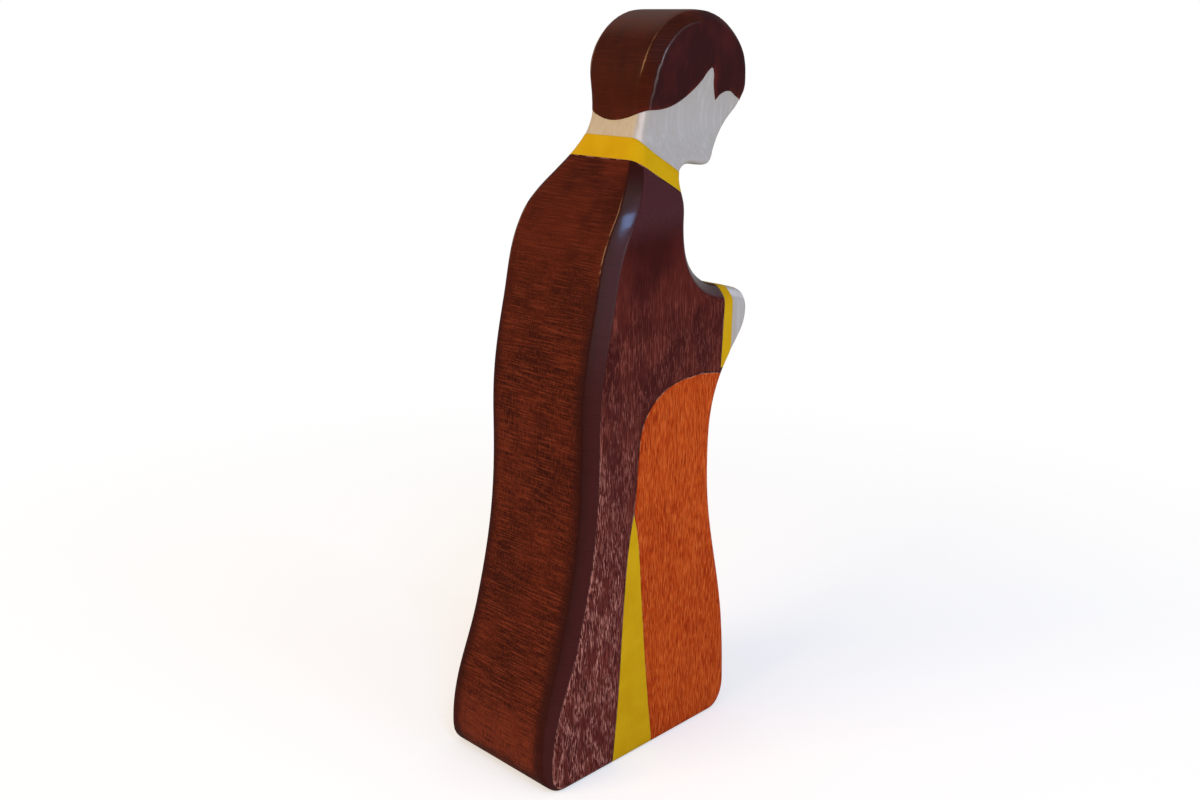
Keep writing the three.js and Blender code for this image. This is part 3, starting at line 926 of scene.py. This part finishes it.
def cloak_back(finish, height, cloud, across):
    """The sawn outline: fine marks across, faint fibres up, painted light at the heel and shade at the
    foot.
    """
    upright = fibres(finish, width=0.13, length=1.3, seed=19.0)
    strength = spread(mask(height, *MARKS_BELOW), 0.4, 1.0)
    # warmer than the sides, partly as painted light of the warm lamp
    color = mixed(mask(cloud, 0.35, 0.65), DEEP_BACK, WARM_BACK)
    # painted light where the heel curves under and catches light from the floor
    color = mixed(stretch(height, *HEEL_LIGHT_HEIGHTS, 0.6), color, PAINTED_HEEL_LIGHT)
    # painted shade along the foot's edge, where it turns under
    color = mixed(mask(height, *FOOT_SHADE_HEIGHTS, 0.7), color, PAINTED_FOOT_SHADE)
    for marks, share in ((across, 0.75), (upright, 0.5)):
        pale = times(mask(marks, *MARK_RIDGES, share), strength)
        color = mixed(pale, color, PALE_MARK)
        dark = times(mask(marks, *MARK_GROOVES, share), strength)
        color = mixed(dark, color, DARK_MARK)
    return mixed(speck(finish, BACK_SPECK, 0.5, 0.8), color, DARK_PORE)


print("saw marks full below", MARKS_BELOW[1], "mm")

# %% [markdown]
# The chamfers are darker than both faces beside them, and their outer half has a painted mauve sheen.
# Along the shoulder the arris is rubbed down to the golden wood, and below the waist the other arris has
# lost its colour fibre by fibre. The brush left a dark rim along the edge of the coat, and a few gaps in
# it.

# %% The cloak's chamfers and wear
CHAMFER_SHEEN_HEIGHTS = (60.0, 84.0)
RUBBED_HEIGHTS = (80.5, 84.5, 91.5, 95.0)
WORN_BELOW = (66.0, 45.0)
COLLAR_SPECK = place(22.8, 98.0, -9.6)
DARK_BROWN = tint(0.19, 0.07, 0.06)
LOW_CHAMFER_SHEEN = tint(0.25, 0.092, 0.092)
HIGH_CHAMFER_SHEEN = tint(0.235, 0.095, 0.12)
RUBBED_GOLD = tint(0.62, 0.45, 0.32)
MISSED_SPOT = tint(0.66, 0.46, 0.41)
RED_SPECK = tint(0.58, 0.25, 0.10)


def cloak_chamfer(height, outward, across):
    """Dark towards the back, a painted mauve sheen towards the side, and a few saw marks."""
    # the painted mauve sheen of the chamfer's outer half, mauver high up
    mauve = mixed(mask(height, *CHAMFER_SHEEN_HEIGHTS), LOW_CHAMFER_SHEEN, HIGH_CHAMFER_SHEEN)
    color = mixed(mask(outward, 10.6, 12.4), DARK_BROWN, mauve)
    return mixed(mask(across, 0.45, 0.3, 0.3), color, DARK_PORE)


def cloak_wear(finish, color, turn, height, fuzz, mottle):
    """The rubbed arrises, the dark rim of the coat, the gaps that the brush left and one red speck."""
    rubbed = times(near(turn, BACK_ARRIS, 0.09, 0.75), stretch(height, *RUBBED_HEIGHTS),
                   mask(mottle, 0.36, 0.5))
    color = mixed(rubbed, color, RUBBED_GOLD)
    worn = times(near(turn, SIDE_ARRIS, 0.07), mask(fuzz, 0.46, 0.56, 0.75), mask(height, *WORN_BELOW))
    color = mixed(worn, color, PALE_FIBRE)
    color = mixed(paint_edge(finish, 0.5, 0.5), color, DARK_PORE)
    missed = times(paint_edge(finish, 0.28, 0.85), mask(mottle, 0.5, 0.58))
    color = mixed(missed, color, MISSED_SPOT)
    return mixed(speck(finish, COLLAR_SPECK, 0.8, 0.7), color, RED_SPECK)


print("arris rubbed from", RUBBED_HEIGHTS[0], "to", RUBBED_HEIGHTS[-1], "mm")

# %% [markdown]
# The whole glaze joins these parts by how far a face turns to the side. A little mottle makes the joins
# uneven, as a brush and sandpaper leave them. Lower down, the back is darkened beside the chamfer as
# painted shade. Only the chamfers have a gleam, and it is brightest at the shoulder, where the colour lies
# thickest.

# %% The cloak's glaze
SHADE_BESIDE_CHAMFER_BELOW = (86.0, 72.0)
GLEAM_RISE = (62.0, 80.0)
GLEAM_END = (98.0, 93.0)
GLEAM_TURNS = (0.5, 0.62, 0.84, 0.93)


def cloak_glaze():
    finish = new_finish("cloak_glaze", roughness=0.5, specular=0.03)
    turn = side_turn(finish)
    height = measure(finish, "Z")
    cloud = noise(finish, size=(7.0, 7.0, 12.0), seed=2.0, detail=3.0)
    mottle = noise(finish, size=(1.5, 1.5, 2.2), seed=21.0)
    across = saw_marks(finish, width=0.14, length=4.5, seed=9.0)
    flat = mask(turn, 0.88, 0.95)
    uneven = reckon("ADD", turn, times(mottle, 0.3))
    outward = reckon("ADD", reckon("ABSOLUTE", measure(finish, "Y")), mottle)
    side, fuzz = cloak_side(finish, height, cloud)
    # painted shade on the back beside the chamfer, below the shoulder
    painted_shade_beside_chamfer = times(mask(outward, 8.6, 10.8, 0.85), mask(height, *SHADE_BESIDE_CHAMFER_BELOW))
    behind = mixed(painted_shade_beside_chamfer, cloak_back(finish, height, cloud, across), DARK_BROWN)
    bevel = cloak_chamfer(height, outward, across)
    behind = mixed(mask(uneven, 0.4, 0.68), behind, bevel)
    color = cloak_wear(finish, mixed(flat, behind, side), turn, height, fuzz, mottle)
    gleam = times(stretch(turn, *GLEAM_TURNS), mask(height, *GLEAM_END),
                  spread(mask(height, *GLEAM_RISE), 0.2, 0.9))
    finish_with(finish, color, mixed(flat, across, fuzz), bump=0.55, gleam=gleam)
    return finish


cloak_finish = cloak_glaze()

# %% [markdown]
# The robe is an orange glaze over the same grain. Its short upright fibres stand out most of all: pale
# where the colour missed a ridge, dark where it filled a pore, and partly also a painted highlight on the
# ridges and painted shade in the pores. The brush left a deeper rim along the edges, with pale flecks
# where it skipped.

# %% The robe's glaze
DEEP_ORANGE = tint(0.675, 0.225, 0.03)
WARM_ORANGE = tint(0.73, 0.275, 0.06)
ORANGE_STREAK = tint(0.79, 0.35, 0.12)
ORANGE_RIDGE = tint(0.85, 0.42, 0.18)
ORANGE_PORE = tint(0.50, 0.125, 0.015)
ORANGE_PALE_MARK = tint(0.80, 0.36, 0.13)
ORANGE_DARK_MARK = tint(0.55, 0.16, 0.02)
ORANGE_RIM = tint(0.66, 0.18, 0.02)
SKIPPED_SPOT = tint(0.86, 0.52, 0.30)


def robe_glaze():
    finish = new_finish("robe_glaze", roughness=0.55, specular=0.04)
    flat = mask(side_turn(finish), 0.86, 0.95)
    cloud = noise(finish, size=(8.0, 8.0, 14.0), seed=4.0, detail=3.0)
    streak = fibres(finish, width=0.5, length=6.0, seed=6.0)
    fuzz = fibres(finish, width=0.13, length=1.8, seed=8.0, wiggle=0.3)
    across = saw_marks(finish, width=0.2, length=4.0, seed=10.0)
    gaps = noise(finish, size=(0.8, 0.8, 1.6), seed=23.0)
    color = mixed(mask(cloud, 0.35, 0.65), DEEP_ORANGE, WARM_ORANGE)
    grain = mixed(mask(streak, 0.52, 0.7, 0.3), color, ORANGE_STREAK)
    # pale ridges and dark pores: thin and pooled colour, and partly painted highlight and shade of the
    # relief
    grain = mixed(mask(fuzz, *RIDGES, 0.75), grain, ORANGE_RIDGE)
    grain = mixed(mask(fuzz, *PORES, 0.75), grain, ORANGE_PORE)
    sawn = mixed(mask(across, 0.54, 0.68, 0.4), color, ORANGE_PALE_MARK)
    sawn = mixed(mask(across, 0.46, 0.32, 0.45), sawn, ORANGE_DARK_MARK)
    color = mixed(flat, sawn, grain)
    color = mixed(paint_edge(finish, 0.8, 0.45), color, ORANGE_RIM)
    skipped = times(paint_edge(finish, 0.35, 0.7), mask(gaps, 0.5, 0.58))
    color = mixed(skipped, color, SKIPPED_SPOT)
    finish_with(finish, color, mixed(flat, across, fuzz), bump=0.7)
    return finish


robe_finish = robe_glaze()

# %% [markdown]
# Collar, cuff and band are a yellow that covers fully, so no grain shows. Only the faint ridges that the
# brush drew, and a rim that is a little thinner, keep it from being flat.

# %% The yellow
DEEP_YELLOW = tint(0.78, 0.60, 0.0)
WARM_YELLOW = tint(0.81, 0.64, 0.03)
YELLOW_RIDGE = tint(0.83, 0.66, 0.08)
THIN_YELLOW = tint(0.84, 0.68, 0.22)


def yellow_paint():
    finish = new_finish("yellow_paint", roughness=0.5, specular=0.06)
    ridge = fibres(finish, width=0.5, length=5.0, seed=12.0)
    cloud = noise(finish, size=(5.0, 5.0, 5.0), seed=14.0)
    color = mixed(mask(cloud, 0.3, 0.7), DEEP_YELLOW, WARM_YELLOW)
    color = mixed(mask(ridge, 0.55, 0.75, 0.3), color, YELLOW_RIDGE)
    color = mixed(paint_edge(finish, 0.25, 0.3), color, THIN_YELLOW)
    finish_with(finish, color, ridge, bump=0.12)
    return finish


yellow_finish = yellow_paint()

# %% [markdown]
# The hair is a darker brown, brushed on thicker. Its sides and front are a purple brown and the back is
# warmer, partly as painted light of the cool side light and the warm lamp. The back gets redder towards
# the nape, and the crown has a painted sheen. Along the hairline the brush lifted here and there, and the
# colour thins to a red brown. The arris at the back of the head is rubbed to the wood, and the one beside
# it gleams.

# %% The hair
TOWARDS_NAPE = (116.0, 104.0)
CROWN_SHEEN_HEIGHTS = (116.5, 121.0)
TOWARDS_FRINGE = (11.0, 15.0)
TOWARDS_REAR = (14.0, 9.0)
HAIR_RUBBED_HEIGHTS = (111.0, 113.5, 117.0, 119.0)
HAIR_GLEAM_RISE = (106.0, 115.0)
HAIR_GLEAM_TURNS = (0.87, 0.92, 0.94, 0.97)
DARK_HAIR = tint(0.195, 0.062, 0.068)
PURPLE_HAIR = tint(0.265, 0.082, 0.082)
HAIR_STREAK = tint(0.33, 0.12, 0.11)
DARK_REAR = tint(0.205, 0.075, 0.04)
WARM_REAR = tint(0.265, 0.095, 0.045)
RED_NAPE = tint(0.31, 0.108, 0.04)
PAINTED_CROWN_SHEEN = tint(0.36, 0.245, 0.215)
HAIR_MARK = tint(0.34, 0.14, 0.08)
THIN_HAIR = tint(0.40, 0.12, 0.085)


def hair_paint():
    finish = new_finish("hair_paint", roughness=0.45, specular=0.05)
    turn = side_turn(finish)
    height = measure(finish, "Z")
    ahead = measure(finish, "X")
    rearward = mask(ahead, *TOWARDS_REAR)
    cloud = noise(finish, size=(4.0, 4.0, 7.0), seed=16.0, detail=3.0)
    streak = fibres(finish, width=0.5, length=5.0, seed=17.0)
    across = saw_marks(finish, width=0.2, length=4.0, seed=18.0)
    # the purple sides and the warmer back are partly painted light of the cool side light and the warm
    # lamp
    side = mixed(mask(cloud, 0.4, 0.7), DARK_HAIR, PURPLE_HAIR)
    side = mixed(mask(streak, 0.58, 0.75, 0.35), side, HAIR_STREAK)
    back = mixed(mask(cloud, 0.35, 0.7), DARK_REAR, WARM_REAR)
    back = mixed(mask(height, *TOWARDS_NAPE, 0.5), back, RED_NAPE)
    # a painted sheen on the crown, standing in for a grazing reflection
    sheen = times(mask(height, *CROWN_SHEEN_HEIGHTS, 0.7), mask(turn, 0.6, 0.35))
    back = mixed(sheen, back, PAINTED_CROWN_SHEEN)
    back = mixed(mask(across, 0.5, 0.68, 0.3), back, HAIR_MARK)
    dark = reckon("MAXIMUM", mask(turn, 0.8, 0.95), mask(ahead, *TOWARDS_FRINGE))
    color = mixed(dark, back, side)
    rubbed = times(near(turn, BACK_ARRIS, 0.1, 0.8), mask(cloud, 0.3, 0.5),
                   stretch(height, *HAIR_RUBBED_HEIGHTS), rearward)
    color = mixed(rubbed, color, RUBBED_GOLD)
    thinned = times(paint_edge(finish, 0.9, 0.6), mask(cloud, 0.4, 0.6))
    color = mixed(thinned, color, THIN_HAIR)
    gleam = times(stretch(turn, *HAIR_GLEAM_TURNS), rearward,
                  spread(mask(height, *HAIR_GLEAM_RISE), 0.3, 1.0))
    finish_with(finish, color, across, bump=0.1, gleam=gleam)
    return finish


hair_finish = hair_paint()

# %% [markdown]
# Now each piece gets its finish and takes the place of its node in the frame. The strokes of the face
# share the colours of the hair and the robe, as they would come from the same pots.

# %% Dress the pieces
DRESS = {
    "wooden_figure": ("bare_wood", bare_finish),
    "hair_coat": ("hair_brown", hair_finish),
    "collar_coat": ("yellow", yellow_finish),
    "cloak_coat": ("cloak_brown", cloak_finish),
    "cuff_coat": ("yellow", yellow_finish),
    "robe_coat": ("robe_orange", robe_finish),
    "band_coat_right": ("yellow", yellow_finish),
    "band_coat_left": ("yellow", yellow_finish),
}


def dress(piece, finish):
    piece.data.materials.clear()
    piece.data.materials.append(finish)
    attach(piece, "root")


for name, (slot, finish) in DRESS.items():
    piece = figure if name == "wooden_figure" else coats[name]
    dress(piece, finish)
    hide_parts(name)
for name, stroke in strokes.items():
    if name == "mouth_line":
        dress(stroke, robe_finish)
    else:
        dress(stroke, hair_finish)
print("dressed:", sorted(DRESS) + sorted(strokes))

# %% [markdown]
# The light is a small room: a warm lamp to the left, which lights the back, a broad soft light to the
# right for the side, and two blue windows, whose mirror images are the streak on the shoulder's
# chamfer and the thin line along the hair. A weak light all round keeps the far side readable.

# %% Light
MIDDLE = Vector((0, 0, cad_high.z / 2))


def lamp(name, direction, distance, size, power, color):
    """A soft lamp that faces the middle of the figure. Its distance and size are in mm."""
    spot = MIDDLE + Vector(direction).normalized() * distance * MM
    bpy.ops.object.light_add(type="AREA", location=spot)
    light = bpy.context.object
    light.name = name
    light.rotation_euler = (MIDDLE - spot).to_track_quat("-Z", "Y").to_euler()
    light.data.shape = "RECTANGLE"
    light.data.size = size[0] * MM
    light.data.size_y = size[1] * MM
    light.data.energy = power
    light.data.color = color


lamp("warm_lamp", direction=(-0.95, 0.2, 0.4), distance=700, size=(500, 500), power=3.6,
     color=(1.0, 0.70, 0.36))
lamp("soft_lamp", direction=(0.25, -0.95, 0.02), distance=700, size=(600, 600), power=2.35,
     color=(1.0, 0.975, 0.945))
lamp("window", direction=(-0.37, -0.70, 0.84), distance=600, size=(130, 240), power=0.9,
     color=(0.28, 0.52, 1.0))
lamp("far_window", direction=(0.12, -0.92, 0.3), distance=600, size=(30, 300), power=0.32,
     color=(0.45, 0.55, 1.0))

# %% [markdown]
# The floor and the sky are plain white to the camera, and the floor still takes a soft shadow. The
# floor itself is a pale grey. It glows for the camera alone, which lifts it to white, and it fades out
# with the distance, so that no horizon shows.

# %% Sky
AMBIENT = 0.4
WHITE = (1.0, 1.0, 1.0, 1.0)

sky = bpy.data.worlds.new("sky")
bpy.context.scene.world = sky
sky.use_nodes = True
seen = node(sky.node_tree, "LightPath", {})
white = reckon("MAXIMUM", seen.outputs["Is Camera Ray"], seen.outputs["Is Transmission Ray"])
backdrop = sky.node_tree.nodes["Background"]
plug(spread(white, AMBIENT, 1.0), backdrop.inputs["Strength"])
backdrop.inputs["Color"].default_value = WHITE
bpy.context.scene.view_settings.view_transform = "Standard"
print("light all round:", AMBIENT)

# %% Floor
FLOOR_SIZE = 2000
FLOOR_GREY = 0.84
FLOOR_GLOW = 0.5
FADE_START = 60
FADE_END = 220

bpy.ops.object.select_all(action="DESELECT")
bpy.ops.mesh.primitive_plane_add(size=FLOOR_SIZE * MM)
floor = bpy.context.object
floor.name = "floor"
ground = new_finish("ground", roughness=0.9, specular=0.0)
shader = ground.node_tree.nodes["Principled BSDF"]
shader.inputs["Base Color"].default_value = tint(FLOOR_GREY, FLOOR_GREY, FLOOR_GREY)
seen = node(ground.node_tree, "LightPath", {})
glow = reckon("MULTIPLY", seen.outputs["Is Camera Ray"], FLOOR_GLOW)
shader.inputs["Emission Color"].default_value = WHITE
plug(glow, shader.inputs["Emission Strength"])
reach = node(ground.node_tree, "VectorMath", {0: place_in(ground)}, operation="LENGTH")
plug(mask(reach.outputs["Value"], FADE_END * MM, FADE_START * MM), shader.inputs["Alpha"])
floor.data.materials.append(ground)
print("floor fades out at", FADE_END, "mm")
